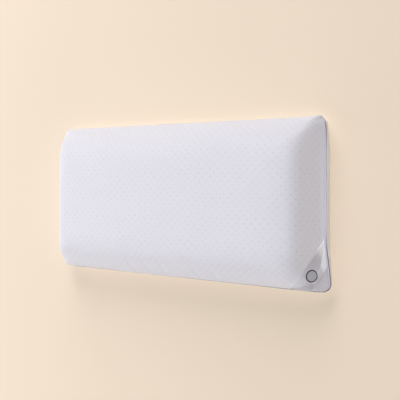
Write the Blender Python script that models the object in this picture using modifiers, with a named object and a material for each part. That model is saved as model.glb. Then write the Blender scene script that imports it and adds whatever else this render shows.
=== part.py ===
"""A filled neck pillow, lying on its back: knit face, plain side band, satin piping, corner ribbon and badge."""

import math

import bmesh
import bpy
import numpy as np
from mathutils import Vector
from mathutils.bvhtree import BVHTree

# The pillow, in metres: X along its length, Y across it, Z up from the back to the face
LENGTH = 0.600
WIDTH = 0.300
SEAM_HEIGHT = 0.0286
FACE_RISE = 0.0532
CROWN = 0.005
CORNER_RADII = {"upper_right": 0.020, "upper_left": 0.027, "lower_left": 0.023, "lower_right": 0.011}
CORNER_FADE = 0.30

# The long sides round over to the face in this reach, as a part of a fuller than round curve
LONG_REACH = 0.0549
LONG_FULLNESS = 1.46

# The ends: shares of the reach in from the seam, and of the rise there
END_REACH = 0.0484
END_PROFILE = (
    {"inset": 0.00, "rise": 0.000},
    {"inset": 0.16, "rise": 0.100},
    {"inset": 0.34, "rise": 0.280},
    {"inset": 0.46, "rise": 0.500},
    {"inset": 0.56, "rise": 0.720},
    {"inset": 0.68, "rise": 0.880},
    {"inset": 0.82, "rise": 0.965},
    {"inset": 1.00, "rise": 1.000},
)
CORNER_BLEND = 3.0

# The lower right corner is softer: a longer reach, and an ear that spreads and droops, the seam's zone as one
SOFT_REACH = 0.018
SOFT_FROM = 0.45
SOFT_TO = 0.85
EAR_FROM = 0.045
EAR_TO = 0.145
EAR_DEPTH = 0.045
EAR_SPREAD = 0.0065
EAR_SPREAD_LOW = 0.0035
EAR_DROOP = 0.008
SEAM_ZONE = 0.004

# Puckers that run up from the lower seam, with a lean along X over their reach
PUCKERS = (
    {"along": -0.092, "reach": 0.062, "depth": 0.0018, "width": 0.007, "lean": -0.004},
    {"along": -0.047, "reach": 0.044, "depth": 0.0014, "width": 0.007, "lean": -0.004},
    {"along": -0.014, "reach": 0.056, "depth": 0.0014, "width": 0.007, "lean": 0.008},
    {"along": 0.063, "reach": 0.052, "depth": 0.0018, "width": 0.008, "lean": 0.000},
    {"along": 0.103, "reach": 0.042, "depth": 0.0012, "width": 0.007, "lean": -0.003},
)
PUCKER_START = 0.008
PUCKER_PULL = 0.7

# Faces over the pillow's face
FACE_COLUMNS = 64
FACE_ROWS = 34
PROFILE_SAMPLES = 800
TANGENT_STEP = 0.002
SMALLEST_SHARE = 1e-4

# The rim below the face: the lip above the piping, its groove, the side and the turned edge
LIP_RISE = 0.0024
PIPING_RADIUS = 0.0016
GAP = 0.0003
GROOVE_DEPTH = 0.0028
BAND_THICKNESS = 0.0012
EDGE_RADIUS = 0.006
EDGE_STEPS = 3
EDGE_TURN = math.radians(78.0)
END_STEPS = 6
LONG_STEPS = 6
CORNER_STEPS = 7

# The ribbon's two edges in even steps along it: insets from the right end and from the lower long seam
RIBBON_EDGES = {
    "outer_end": (0.0010, 0.0134, 0.0243, 0.0352, 0.0600),
    "outer_long": (0.0901, 0.0694, 0.0492, 0.0289, 0.0010),
    "inner_end": (0.0002, 0.0065, 0.0122, 0.0170, 0.0254),
    "inner_long": (0.0510, 0.0388, 0.0268, 0.0147, 0.0010),
}
RIBBON_SEAM = 0.0037
RIBBON_THICKNESS = 0.0010
RIBBON_LIFT = 3.5 * GAP
RIBBON_STEPS = 24
RIBBON_LANES = 9
# Folds that run slantwise over it: where each starts and ends along and across the ribbon, and how it stands
RIBBON_FOLDS = (
    {"along": (0.00, 0.50), "across": (0.20, 1.25), "height": 0.0022, "width": 0.12},
    {"along": (0.78, 1.04), "across": (1.00, 0.20), "height": 0.0012, "width": 0.12},
)

BADGE_PLACE = {"end": 0.0216, "long": 0.0294}
BADGE_RADIUS = 0.0105
BADGE_THICKNESS = 0.0014
BADGE_RIM = 0.0016
BADGE_SINK = 0.0005
BADGE_SIDES = 36
BADGE_CENTRE = 0.4
LAYING_HEIGHT = 0.02

COLOURS = {
    "pillow_body": {"color": (0.76, 0.75, 0.78), "roughness": 0.90},
    "side_band": {"color": (0.66, 0.65, 0.68), "roughness": 0.85},
    "seam_piping": {"color": (0.32, 0.29, 0.33), "roughness": 0.50},
    "corner_ribbon": {"color": (0.50, 0.49, 0.53), "roughness": 0.40},
    "badge": {"color": (0.16, 0.14, 0.17), "roughness": 0.60},
}

HALF_LENGTH = LENGTH / 2.0
HALF_WIDTH = WIDTH / 2.0
END_INSETS = [row["inset"] for row in END_PROFILE]
END_RISES = [row["rise"] for row in END_PROFILE]


def smooth(share):
    share = min(max(share, 0.0), 1.0)
    return share * share * (3.0 - 2.0 * share)


def corner_radius(x, y):
    """The outline's radius at the corner nearest this place."""
    across = "right" if x > 0.0 else "left"
    return CORNER_RADII[("upper_" if y > 0.0 else "lower_") + across]


def end_reach(u, v):
    """How far in from the end seam the face is reached, longer towards the soft corner."""
    if u < 0.0:
        return END_REACH
    return END_REACH + SOFT_REACH * smooth((-v - SOFT_FROM) / (SOFT_TO - SOFT_FROM))


def end_rise(inset, reach=END_REACH):
    return float(np.interp(inset / reach, END_INSETS, END_RISES))


def long_rise(inset):
    left = 1.0 - min(max(inset / LONG_REACH, 0.0), 1.0)
    return (1.0 - left**LONG_FULLNESS) ** (1.0 / LONG_FULLNESS)


def face_share(u, v):
    """The share of the rise at a place on the face, where the end's and the long side's curves meet."""
    at_end = end_rise(HALF_LENGTH * (1.0 - abs(u)), end_reach(u, v))
    at_side = long_rise(HALF_WIDTH * (1.0 - abs(v)))
    if min(at_end, at_side) < SMALLEST_SHARE:
        return 0.0
    return (at_end**-CORNER_BLEND + at_side**-CORNER_BLEND - 1.0) ** (-1.0 / CORNER_BLEND)


def rounded(u, v):
    """The plan of a place on the face, with the outline's corners rounded and the rounding fading inwards."""
    ring = max(abs(u), abs(v))
    radius = corner_radius(u, v) * min(max((ring - 1.0 + CORNER_FADE) / CORNER_FADE, 0.0), 1.0)
    x = HALF_LENGTH * abs(u)
    y = HALF_WIDTH * abs(v)
    past_x = x - (HALF_LENGTH * ring - radius)
    past_y = y - (HALF_WIDTH * ring - radius)
    if past_x > 0.0 and past_y > 0.0:
        pull = 1.0 - radius / math.hypot(past_x, past_y)
        x -= past_x * pull
        y -= past_y * pull
    return math.copysign(x, u), math.copysign(y, v)


def eared(x, y, z):
    """The point after the soft corner is drawn out into an ear that droops towards the back."""
    share = smooth((-y - EAR_FROM) / (EAR_TO - EAR_FROM))
    share *= max(1.0 - (HALF_LENGTH - x) / EAR_DEPTH, 0.0) ** 2
    low = min(z / (SEAM_HEIGHT - SEAM_ZONE), 1.0)
    spread = EAR_SPREAD_LOW + (EAR_SPREAD - EAR_SPREAD_LOW) * low
    return Vector((x + spread * share, y, z - EAR_DROOP * share * low))


def pucker_depth(x, inset):
    """How far the puckers sink the side at this inset from the lower seam."""
    depth = 0.0
    for row in PUCKERS:
        if inset < row["reach"]:
            up = inset / row["reach"]
            middle = row["along"] + row["lean"] * up * up
            fade = smooth(inset / PUCKER_START) * smooth(1.0 - up)
            depth += row["depth"] * fade * math.exp(-(((x - middle) / row["width"]) ** 2))
    return depth


def face_point(u, v):
    """A point of the face, from its shares of the half length and the half width."""
    x, y = rounded(u, v)
    z = SEAM_HEIGHT + FACE_RISE * face_share(u, v) + CROWN * (1.0 - u * u) * (1.0 - v * v)
    sink = pucker_depth(x, HALF_WIDTH + y)
    return eared(x, y + PUCKER_PULL * sink, z - PUCKER_PULL * sink)


def face_axes(u, v):
    """The point with the two directions along the cloth, and the outward normal."""
    step = TANGENT_STEP
    point = face_point(u, v)
    along_u = (face_point(u + step, v) - face_point(u - step, v)) / (2.0 * step)
    along_v = (face_point(u, v + step) - face_point(u, v - step)) / (2.0 * step)
    return point, along_u, along_v, along_u.cross(along_v).normalized()


def even_shares(half, lip, rise_of, count):
    """Shares of the half size from lip to lip, evenly spaced along the cloth."""
    shares = np.linspace(-1.0, 1.0, PROFILE_SAMPLES + 1) * (1.0 - lip / half)
    heights = [FACE_RISE * rise_of(half * (1.0 - abs(share))) for share in shares]
    steps = np.hypot(half * np.diff(shares), np.diff(heights))
    lengths = np.concatenate([[0.0], np.cumsum(steps)])
    return np.interp(np.linspace(0.0, lengths[-1], count + 1), lengths, shares)


def end_lip():
    return END_REACH * float(np.interp(LIP_RISE / FACE_RISE, END_RISES, END_INSETS))


def long_lip():
    share = LIP_RISE / FACE_RISE
    return LONG_REACH * (1.0 - (1.0 - share**LONG_FULLNESS) ** (1.0 / LONG_FULLNESS))


def on_outline(u, v, inset, height):
    """A point at this inset from the outline, for a place on the rim of the unit square."""
    radius = corner_radius(u, v)
    core_x = HALF_LENGTH - radius
    core_y = HALF_WIDTH - radius
    past_x = max(HALF_LENGTH * abs(u) - core_x, 0.0)
    past_y = max(HALF_WIDTH * abs(v) - core_y, 0.0)
    reach = (radius - inset) / math.hypot(past_x, past_y)
    x = min(HALF_LENGTH * abs(u), core_x) + past_x * reach
    y = min(HALF_WIDTH * abs(v), core_y) + past_y * reach
    return eared(math.copysign(x, u), math.copysign(y, v), height)


def quarter_places(radius):
    """Places along a quarter of the unit square's rim, from the middle of its right side to the middle of its top."""
    core_u = 1.0 - radius / HALF_LENGTH
    core_v = 1.0 - radius / HALF_WIDTH
    places = [(1.0, core_v * step / END_STEPS) for step in range(END_STEPS)]
    for step in range(CORNER_STEPS + 1):
        angle = math.pi / 2.0 * step / CORNER_STEPS
        along = min(math.tan(angle), 1.0)
        across = min(math.tan(math.pi / 2.0 - angle), 1.0)
        places.append((core_u + (1.0 - core_u) * across, core_v + (1.0 - core_v) * along))
    return places + [(core_u * (1.0 - step / LONG_STEPS), 1.0) for step in range(1, LONG_STEPS + 1)]


def outline_places():
    """Places once round the rim: even steps on the straights, even angles on the corners."""
    places = []
    for corner, (sign_u, sign_v) in enumerate(((1.0, 1.0), (-1.0, 1.0), (-1.0, -1.0), (1.0, -1.0))):
        quarter = quarter_places(corner_radius(sign_u, sign_v))
        if corner % 2:
            quarter.reverse()
        places += [(sign_u * u, sign_v * v) for u, v in quarter[:-1]]
    return places


def turned_edge(first_inset, radius):
    """Rings from the top of the turned edge round to the back, as insets and heights."""
    rings = []
    for step in range(EDGE_STEPS + 1):
        angle = EDGE_TURN * step / EDGE_STEPS
        inset = EDGE_RADIUS - radius * math.cos(angle)
        rings.append({"inset": inset, "height": EDGE_RADIUS - radius * math.sin(angle)})
    rings[0]["inset"] = first_inset
    return rings


def body_rings():
    side = BAND_THICKNESS + 2.0 * GAP
    rings = [
        {"inset": GROOVE_DEPTH, "height": SEAM_HEIGHT},
        {"inset": side, "height": SEAM_HEIGHT - PIPING_RADIUS - 2.0 * GAP},
    ]
    rings += turned_edge(side, EDGE_RADIUS - side)
    edge = rings[-1]["inset"] + 2.0 * GAP
    return rings + [{"inset": edge, "height": rings[-1]["height"]}, {"inset": edge + GAP, "height": 0.0}]


def new_object(name, mesh):
    data = bpy.data.meshes.new(name)
    bmesh.ops.recalc_face_normals(mesh, faces=mesh.faces)
    mesh.to_mesh(data)
    mesh.free()
    data.shade_smooth()
    return link(bpy.data.objects.new(name, data))


def link(obj):
    part.objects.link(obj)
    material = bpy.data.materials.new(obj.name)
    material.use_nodes = True
    shader = material.node_tree.nodes["Principled BSDF"]
    shader.inputs["Base Color"].default_value = (*COLOURS[obj.name]["color"], 1.0)
    shader.inputs["Roughness"].default_value = COLOURS[obj.name]["roughness"]
    shader.inputs["Metallic"].default_value = 0.0
    obj.data.materials.append(material)
    return obj


def add_rings(mesh, count):
    """Extrudes the open rim down once for each ring, one unit apart, and returns the last rim's edges."""
    rim = [edge for edge in mesh.edges if edge.is_boundary or edge.is_wire]
    for _ in range(count):
        made = bmesh.ops.extrude_edge_only(mesh, edges=rim)["geom"]
        verts = [item for item in made if isinstance(item, bmesh.types.BMVert)]
        bmesh.ops.translate(mesh, verts=verts, vec=(0.0, 0.0, -1.0))
        new = set(verts)
        rim = [edge for edge in mesh.edges if edge.verts[0] in new and edge.verts[1] in new]
    return rim


def pillow_body():
    """The face as a grid, its rim extruded down ring by ring, and the flat back as one face."""
    columns = even_shares(HALF_LENGTH, end_lip(), end_rise, FACE_COLUMNS)
    rows = even_shares(HALF_WIDTH, long_lip(), long_rise, FACE_ROWS)
    rings = body_rings()
    mesh = bmesh.new()
    bmesh.ops.create_grid(mesh, x_segments=FACE_COLUMNS, y_segments=FACE_ROWS, size=1.0)
    bmesh.ops.contextual_create(mesh, geom=add_rings(mesh, len(rings)))
    for vert in mesh.verts:
        u = columns[round((vert.co.x + 1.0) / 2.0 * FACE_COLUMNS)]
        v = rows[round((vert.co.y + 1.0) / 2.0 * FACE_ROWS)]
        ring = round(-vert.co.z)
        if ring == 0:
            vert.co = face_point(u, v)
        else:
            row = rings[ring - 1]
            vert.co = on_outline(u / columns[-1], v / rows[-1], row["inset"], row["height"])
    return new_object("pillow_body", mesh)


def side_band():
    """A strip that hangs from under the piping, round the side and in under the back."""
    places = outline_places()
    rings = [{"inset": 0.0, "height": SEAM_HEIGHT - PIPING_RADIUS - GAP}]
    rings += turned_edge(0.0, EDGE_RADIUS)
    mesh = bmesh.new()
    bmesh.ops.create_circle(mesh, segments=len(places), radius=1.0)
    add_rings(mesh, len(rings) - 1)
    for vert in mesh.verts:
        turn = math.atan2(vert.co.y, vert.co.x) / (2.0 * math.pi)
        u, v = places[round(turn * len(places)) % len(places)]
        row = rings[round(-vert.co.z)]
        vert.co = on_outline(u, v, row["inset"], row["height"])
    band = new_object("side_band", mesh)
    wall = band.modifiers.new("cloth", "SOLIDIFY")
    wall.thickness = BAND_THICKNESS
    wall.offset = -1.0
    wall.use_even_offset = True
    return band


def seam_piping():
    """A round cord that lies in the groove all the way round."""
    curve = bpy.data.curves.new("seam_piping", "CURVE")
    curve.dimensions = "3D"
    curve.bevel_depth = PIPING_RADIUS
    curve.bevel_resolution = 2
    places = outline_places()
    spline = curve.splines.new("POLY")
    spline.points.add(len(places) - 1)
    for point, (u, v) in zip(spline.points, places):
        point.co = (*on_outline(u, v, 0.0, SEAM_HEIGHT), 1.0)
    spline.use_cyclic_u = True
    return link(bpy.data.objects.new("seam_piping", curve))


def through(values, share):
    """The value at this share of a smooth curve through values that are evenly spaced."""
    step = share * (len(values) - 1)
    total = 0.0
    for own, value in enumerate(values):
        for other in range(len(values)):
            if other != own:
                value *= (step - other) / (own - other)
        total += value
    return total


def ribbon_place(along, across):
    """Where a place on the ribbon lies on the face, as shares of the half sizes."""
    at = {name: through(values, along) for name, values in RIBBON_EDGES.items()}
    from_end = at["outer_end"] + (at["inner_end"] - at["outer_end"]) * across
    from_long = at["outer_long"] + (at["inner_long"] - at["outer_long"]) * across
    return 1.0 - max(from_end, RIBBON_SEAM) / HALF_LENGTH, from_long / HALF_WIDTH - 1.0


def fold_height(along, across):
    height = 0.0
    for row in RIBBON_FOLDS:
        share = (along - row["along"][0]) / (row["along"][1] - row["along"][0])
        if 0.0 < share < 1.0:
            middle = row["across"][0] + (row["across"][1] - row["across"][0]) * share
            standing = math.sin(math.pi * share) * math.exp(-(((across - middle) / row["width"]) ** 2))
            height += row["height"] * standing
    return height


def surface_of(obj):
    """The object's outer surface, for laying a sheet on it."""
    return BVHTree.FromObject(obj, bpy.context.evaluated_depsgraph_get())


def laid_on(surface, point, normal, lift):
    """The point above this surface, along the normal."""
    hit = surface.ray_cast(point + normal * LAYING_HEIGHT, -normal)[0]
    return (hit or point) + normal * lift


def corner_ribbon(body):
    """A thin sheet that follows the corner, with its folds standing off it."""
    surface = surface_of(body)
    mesh = bmesh.new()
    bmesh.ops.create_grid(mesh, x_segments=RIBBON_STEPS, y_segments=RIBBON_LANES, size=1.0)
    for vert in mesh.verts:
        along = (vert.co.x + 1.0) / 2.0
        across = (vert.co.y + 1.0) / 2.0
        point, _, _, normal = face_axes(*ribbon_place(along, across))
        lift = RIBBON_LIFT + RIBBON_THICKNESS + fold_height(along, across)
        vert.co = laid_on(surface, point, normal, lift)
    ribbon = new_object("corner_ribbon", mesh)
    sheet = ribbon.modifiers.new("satin", "SOLIDIFY")
    sheet.thickness = RIBBON_THICKNESS
    sheet.offset = -1.0
    return ribbon


def badge(ribbon):
    """A disc with a raised rim, bent to the ribbon that it is sewn on."""
    surface = surface_of(ribbon)
    mesh = bmesh.new()
    bmesh.ops.create_cone(
        mesh,
        cap_ends=True,
        segments=BADGE_SIDES,
        radius1=BADGE_RADIUS,
        radius2=BADGE_RADIUS,
        depth=BADGE_THICKNESS,
    )
    top = [face for face in mesh.faces if face.normal.z > 0.5]
    bottom = [face for face in mesh.faces if face.normal.z < -0.5]
    bmesh.ops.inset_region(mesh, faces=top, thickness=BADGE_RIM)
    bmesh.ops.inset_region(mesh, faces=top, thickness=BADGE_SINK, depth=-BADGE_SINK)
    for cap in (top, bottom):
        bmesh.ops.inset_region(mesh, faces=cap, thickness=BADGE_RADIUS * BADGE_CENTRE)
        bmesh.ops.poke(mesh, faces=cap)
    u = 1.0 - BADGE_PLACE["end"] / HALF_LENGTH
    v = BADGE_PLACE["long"] / HALF_WIDTH - 1.0
    _, along_u, along_v, normal = face_axes(u, v)
    to_share = np.linalg.pinv(np.array([along_u, along_v]).T)
    right = along_u.normalized()
    up = normal.cross(right)
    lift = 2.0 * GAP + BADGE_THICKNESS / 2.0
    for vert in mesh.verts:
        shift = to_share @ np.array(right * vert.co.x + up * vert.co.y)
        point, _, _, outward = face_axes(u + float(shift[0]), v + float(shift[1]))
        vert.co = laid_on(surface, point, outward, lift + vert.co.z)
    return new_object("badge", mesh)


for old in list(bpy.data.objects):
    bpy.data.objects.remove(old, do_unlink=True)
part = bpy.data.collections.new("cervical_pillow")
bpy.context.scene.collection.children.link(part)
body = pillow_body()
side_band()
seam_piping()
ribbon = corner_ribbon(body)
badge(ribbon)
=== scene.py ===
# A neck pillow on its back: the filled cushion in dotted knit, its side band, piping, corner ribbon and badge

import math

import bpy
import numpy as np
from mathutils import Matrix, Vector
from mathutils.bvhtree import BVHTree


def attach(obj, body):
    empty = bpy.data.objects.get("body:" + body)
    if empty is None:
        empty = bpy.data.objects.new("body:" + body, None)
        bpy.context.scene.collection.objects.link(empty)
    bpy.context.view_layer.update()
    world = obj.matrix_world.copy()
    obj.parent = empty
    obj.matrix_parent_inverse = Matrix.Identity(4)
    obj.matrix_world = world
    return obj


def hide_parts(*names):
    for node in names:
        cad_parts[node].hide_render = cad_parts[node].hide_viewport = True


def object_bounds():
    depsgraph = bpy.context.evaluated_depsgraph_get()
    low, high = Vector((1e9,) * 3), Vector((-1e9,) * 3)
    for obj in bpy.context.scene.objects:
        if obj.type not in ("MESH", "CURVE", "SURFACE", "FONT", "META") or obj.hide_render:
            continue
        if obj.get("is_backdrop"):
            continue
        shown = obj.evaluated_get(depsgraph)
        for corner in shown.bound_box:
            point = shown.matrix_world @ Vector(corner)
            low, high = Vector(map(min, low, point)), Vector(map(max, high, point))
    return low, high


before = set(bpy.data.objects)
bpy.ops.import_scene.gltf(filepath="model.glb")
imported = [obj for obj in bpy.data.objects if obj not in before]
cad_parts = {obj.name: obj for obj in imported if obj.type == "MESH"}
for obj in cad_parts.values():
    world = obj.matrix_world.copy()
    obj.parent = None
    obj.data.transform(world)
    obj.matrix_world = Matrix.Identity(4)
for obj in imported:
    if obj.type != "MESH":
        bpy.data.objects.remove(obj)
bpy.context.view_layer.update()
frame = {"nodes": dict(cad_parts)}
mm = 0.001

# The pillow's own form, the same as in its solids: X along it, Y across it, Z from the back to the face
form = {
    "halfLength": 300 * mm,
    "halfWidth": 150 * mm,
    "seamHeight": 28.6 * mm,
    "faceRise": 53.2 * mm,
    "crown": 5 * mm,
    "cornerRadii": (12 * mm, 27 * mm, 23 * mm, 11 * mm),  # upper right, upper left, lower left, lower right
    "cornerFade": 0.22,
    "longReach": 54.9 * mm,
    "longFullness": 1.46,
    "longSoftening": 0.36,
    "endReach": 48.4 * mm,
    "endInsets": (0.00, 0.16, 0.34, 0.46, 0.56, 0.68, 0.82, 1.00),
    "endRises": (0.000, 0.100, 0.280, 0.500, 0.720, 0.880, 0.965, 1.000),
    "endSoftening": 0.05,
    "crestSoftening": 0.11,
    # The right end in profile: how steep it stands at each inset, in mm
    "rightInsets": (0, 5, 8, 12, 16, 20, 24, 28, 32, 36, 40, 44, 48, 54, 60, 68, 84, 100, 120),
    "rightSlopes": (0.60, 0.68, 0.79, 0.97, 1.26, 1.63, 1.86, 1.62, 1.24, 0.90, 0.64, 0.47, 0.35, 0.24, 0.17, 0.12, 0.07, 0.03, 0.0),
    "rightTaper": 0.13,
    "cornerBlend": 3.0,
    "softReach": 18 * mm,
    "softFrom": 0.45,
    "softTo": 0.85,
    "earFrom": 45 * mm,
    "earTo": 145 * mm,
    "earDepth": 45 * mm,
    "earSpread": 6.5 * mm,
    "earSpreadLow": 3.5 * mm,
    "earDroop": 8 * mm,
    "seamZone": 4 * mm,
    "lipRise": 2.2 * mm,
    "pipingRadius": 1.6 * mm,
    "gap": 0.3 * mm,
    "bandThickness": 1.2 * mm,
    "edgeRadius": 6 * mm,
    "edgeTurn": math.radians(78),
    "seamPull": 2.8 * mm,
    "pullFromX": 262 * mm,
    "pullFromY": 126 * mm,
    "pullFade": 16 * mm,
    "pullLow": 8 * mm,
    "backDraw": 5 * mm,
    "drawReach": 60 * mm,
    "cornerBulge": 4.5 * mm,
    "bulgeFromX": 262 * mm,
    "bulgeFromY": 112 * mm,
    "bulgeFade": 34 * mm,
}


def report(text):
    print(f"pillow: {text}")


def smooth(share):
    share = np.clip(share, 0.0, 1.0)
    return share * share * (3.0 - 2.0 * share)


def cornerRadius(x, y):
    corner = np.where(y >= 0, np.where(x >= 0, 0, 1), np.where(x >= 0, 3, 2))
    return np.array(form["cornerRadii"])[corner]


def rightRise(inset, v):
    # The right end's profile, summed up from its slopes: shorter towards the top and softer at the ribbon's corner
    insets = np.linspace(0.0, form["rightInsets"][-1], 1201)
    slopes = np.interp(insets, form["rightInsets"], form["rightSlopes"])
    rises = np.concatenate([[0.0], np.cumsum((slopes[1:] + slopes[:-1]) / 2)])
    soft = smooth((-v - form["softFrom"]) / (form["softTo"] - form["softFrom"]))
    stretch = 1 - form["rightTaper"] * smooth((v - 0.15) / 0.5) + form["softReach"] / form["endReach"] * soft
    return np.interp(inset / mm / stretch, insets, rises / rises[-1])


def endRise(inset):
    # The solids' bent profile with its bends eased, the crest's most
    shares = inset / form["endReach"]
    window = form["endSoftening"] + form["crestSoftening"] * smooth((shares - 0.45) / 0.4)
    steps = np.linspace(-1, 1, 13)
    return np.mean([np.interp(shares + window * step, form["endInsets"], form["endRises"]) for step in steps], axis=0)


def longRise(inset):
    # A fuller than round curve, eased where it runs out on the face
    total = 0.0
    for step in np.linspace(-1, 1, 15):
        left = 1.0 - np.clip(inset * (1 + form["longSoftening"] * step) / form["longReach"], 0.0, 1.0)
        total = total + (1.0 - left ** form["longFullness"]) ** (1.0 / form["longFullness"]) / 15
    return total


def faceShare(u, v):
    # Where the end's curve and the long side's curve meet, the corner is rounded between them
    blend = form["cornerBlend"]
    fromEnd = form["halfLength"] * (1.0 - np.abs(u))
    atEnd = np.maximum(np.where(u > 0, rightRise(fromEnd, v), endRise(fromEnd)), 1e-3)
    atSide = np.maximum(longRise(form["halfWidth"] * (1.0 - np.abs(v))), 1e-3)
    return (atEnd**-blend + atSide**-blend - 1.0) ** (-1.0 / blend)


def rounded(u, v):
    ring = np.maximum(np.abs(u), np.abs(v))
    radius = cornerRadius(u, v) * np.clip((ring - 1.0 + form["cornerFade"]) / form["cornerFade"], 0.0, 1.0)
    x = form["halfLength"] * np.abs(u)
    y = form["halfWidth"] * np.abs(v)
    pastX = x - (form["halfLength"] * ring - radius)
    pastY = y - (form["halfWidth"] * ring - radius)
    pull = np.where((pastX > 0) & (pastY > 0), 1.0 - radius / np.maximum(np.hypot(pastX, pastY), 1e-9), 0.0)
    return np.copysign(x - pastX * pull, u), np.copysign(y - pastY * pull, v)


def eared(x, y, z):
    # The soft corner is drawn out into an ear that droops towards the back
    share = smooth((-y - form["earFrom"]) / (form["earTo"] - form["earFrom"]))
    share = share * np.maximum(1.0 - (form["halfLength"] - x) / form["earDepth"], 0.0) ** 2
    low = np.minimum(z / (form["seamHeight"] - form["seamZone"]), 1.0)
    spread = form["earSpreadLow"] + (form["earSpread"] - form["earSpreadLow"]) * low
    return np.stack([x + spread * share, y, z - form["earDroop"] * share * low], axis=-1)


def facePoints(u, v):
    x, y = rounded(u, v)
    rise = form["faceRise"] * faceShare(u, v)
    z = form["seamHeight"] + rise + form["crown"] * (1 - u * u) * (1 - v * v)
    # The firm upper corner by the ribbon's end stands out over its seam
    near = smooth((x - form["bulgeFromX"]) / form["bulgeFade"]) * smooth((y - form["bulgeFromY"]) / form["bulgeFade"])
    out = form["cornerBulge"] * near * smooth(rise / (6 * mm)) * smooth(1.2 - rise / (44 * mm))
    return eared(x + 0.7 * out, y + 0.7 * out, z)


def quarterLength(radius):
    return form["halfLength"] + form["halfWidth"] - 2 * radius + math.pi / 2 * radius


def seamPull(x, y):
    # The seam is drawn in under the face along the upper side and round the left end
    upper = smooth((y - form["pullFromY"]) / form["pullFade"]) * (1 - 0.43 * smooth((x - 200 * mm) / (70 * mm)))
    left = smooth((-x - form["pullFromX"]) / form["pullFade"])
    return form["seamPull"] * np.maximum(upper, left)


def outlinePoints(turn, inset, height):
    # Points at this inset from the outline: turn runs once round, from the middle of the right end
    turn = np.mod(turn, 1.0) * 4
    side = np.floor(turn).astype(int) % 4
    radius = np.array(form["cornerRadii"])[side]
    quarter = quarterLength(radius)
    within = np.where(side % 2 == 0, turn - np.floor(turn), 1 - turn + np.floor(turn)) * quarter
    coreX = form["halfLength"] - radius
    coreY = form["halfWidth"] - radius
    angle = np.clip((within - coreY) / radius, 0.0, math.pi / 2)
    signX = np.where((side == 1) | (side == 2), -1.0, 1.0)
    signY = np.where(side >= 2, -1.0, 1.0)
    past = coreX - np.maximum(within - coreY - math.pi / 2 * radius, 0.0)
    onX = (past + radius * np.cos(angle)) * signX
    onY = (np.minimum(within, coreY) + radius * np.sin(angle)) * signY
    inset = inset + seamPull(onX, onY) * smooth((height - form["pullLow"]) / form["pullFade"])
    # The band's lower edge is drawn in round the firm upper corner
    near = smooth((onX + form["drawReach"] - form["halfLength"]) / form["drawReach"])
    near = near * smooth((onY + form["drawReach"] - form["halfWidth"]) / form["drawReach"])
    inset = inset + form["backDraw"] * near * smooth(1 - height / (form["seamHeight"] - form["pipingRadius"]))
    x = past + (radius - inset) * np.cos(angle)
    y = np.minimum(within, coreY) + (radius - inset) * np.sin(angle)
    return eared(x * signX, y * signY, np.broadcast_to(height, x.shape).astype(float))


def evenShares(half, lip, riseOf, count):
    # Shares of the half size from lip to lip, evenly spaced along the cloth
    shares = np.linspace(-1.0, 1.0, 4001) * (1.0 - lip / half)
    heights = form["faceRise"] * riseOf(half * (1.0 - np.abs(shares)))
    lengths = np.concatenate([[0.0], np.cumsum(np.hypot(half * np.diff(shares), np.diff(heights)))])
    return np.interp(np.linspace(0.0, lengths[-1], count + 1), lengths, shares), lengths[-1]


# Modelling helpers

def deselectAll():
    if bpy.context.mode != "OBJECT":
        bpy.ops.object.mode_set(mode="OBJECT")
    bpy.ops.object.select_all(action="DESELECT")


def takeUp(piece):
    deselectAll()
    piece.select_set(True)
    bpy.context.view_layer.objects.active = piece


def added(name):
    piece = bpy.context.object
    piece.name = name
    piece.data.name = name
    return piece


def placesOf(piece):
    places = np.empty(len(piece.data.vertices) * 3)
    piece.data.vertices.foreach_get("co", places)
    return places.reshape(-1, 3)


def normalsOf(piece):
    normals = np.empty(len(piece.data.vertices) * 3)
    piece.data.vertex_normals.foreach_get("vector", normals)
    return normals.reshape(-1, 3)


def place(piece, places):
    piece.data.vertices.foreach_set("co", np.asarray(places, dtype=float).ravel())
    piece.data.update()


def keep(piece, name, values):
    # A value at each point of the mesh, for its material
    made = piece.data.attributes.new(name, "FLOAT", "POINT")
    made.data.foreach_set("value", np.asarray(values, dtype=float))


def selectVerts(piece, mask):
    # Vertex-select mode, so that what lies between the chosen points is selected as well
    bpy.ops.object.mode_set(mode="OBJECT")
    for elements in (piece.data.vertices, piece.data.edges, piece.data.polygons):
        elements.foreach_set("select", np.zeros(len(elements), dtype=bool))
    piece.data.vertices.foreach_set("select", mask)
    bpy.ops.object.mode_set(mode="EDIT")
    bpy.ops.mesh.select_mode(type="VERT")


def extrudeRings(count):
    # Draws the selected open rim down, one unit for each ring
    for _ in range(count):
        bpy.ops.mesh.extrude_region_move(TRANSFORM_OT_translate={"value": (0.0, 0.0, -1.0)})


def faceOutwards(piece):
    takeUp(piece)
    bpy.ops.object.mode_set(mode="EDIT")
    bpy.ops.mesh.select_all(action="SELECT")
    bpy.ops.mesh.normals_make_consistent(inside=False)
    bpy.ops.object.mode_set(mode="OBJECT")
    bpy.ops.object.shade_smooth()


def applyAll(piece):
    takeUp(piece)
    for modifier in list(piece.modifiers):
        bpy.ops.object.modifier_apply(modifier=modifier.name)


def surfaceOf(piece):
    return BVHTree.FromObject(piece, bpy.context.evaluated_depsgraph_get())


def wave(values, length, phase=0.0):
    return np.sin(2 * math.pi * (values / length + phase))


# Materials

class Wire:
    # A socket's output, on which sums add Math nodes
    def __init__(self, finish, socket):
        self.finish = finish
        self.socket = socket

    def math(self, operation, first, second=0.0):
        return self.finish.node("ShaderNodeMath", {"operation": operation}, {0: first, 1: second})

    def __add__(self, other):
        return self.math("ADD", self, other)

    def __sub__(self, other):
        return self.math("SUBTRACT", self, other)

    def __rsub__(self, other):
        return self.math("SUBTRACT", other, self)

    def __mul__(self, other):
        return self.math("MULTIPLY", self, other)

    def __pow__(self, other):
        return self.math("POWER", self, other)

    __radd__ = __add__
    __rmul__ = __mul__


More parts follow.
